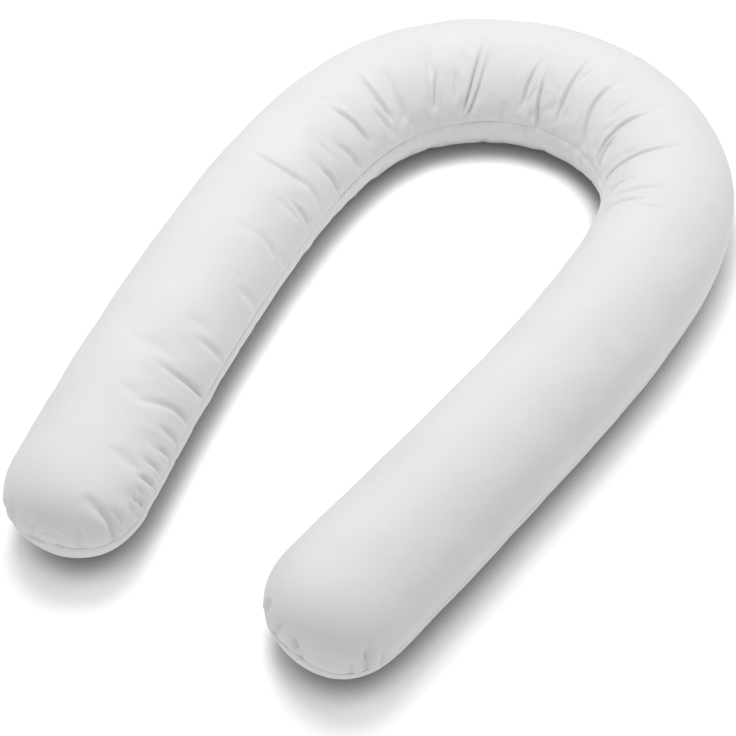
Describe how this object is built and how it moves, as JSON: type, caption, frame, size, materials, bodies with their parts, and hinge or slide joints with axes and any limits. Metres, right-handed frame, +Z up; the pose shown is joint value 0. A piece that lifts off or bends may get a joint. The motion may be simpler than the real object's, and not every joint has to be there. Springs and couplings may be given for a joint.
{
  "type": "body pillow",
  "caption": "Horseshoe-shaped body pillow: a stuffed round tube of white cotton, closed at both ends, that lies round a side sleeper.",
  "frame": {"origin": "middle of the outline seen from above, on the surface that the pillow lies on", "axes": "+Y from the open end between the legs to the bend, +Z up out of the surface"},
  "size_m": [0.783, 1.303, 0.18],
  "materials": {
    "cover": "matt fine woven cotton, white"
  },
  "bodies": {
    "root": {"pillow": "cover"}
  },
  "joints": []
}
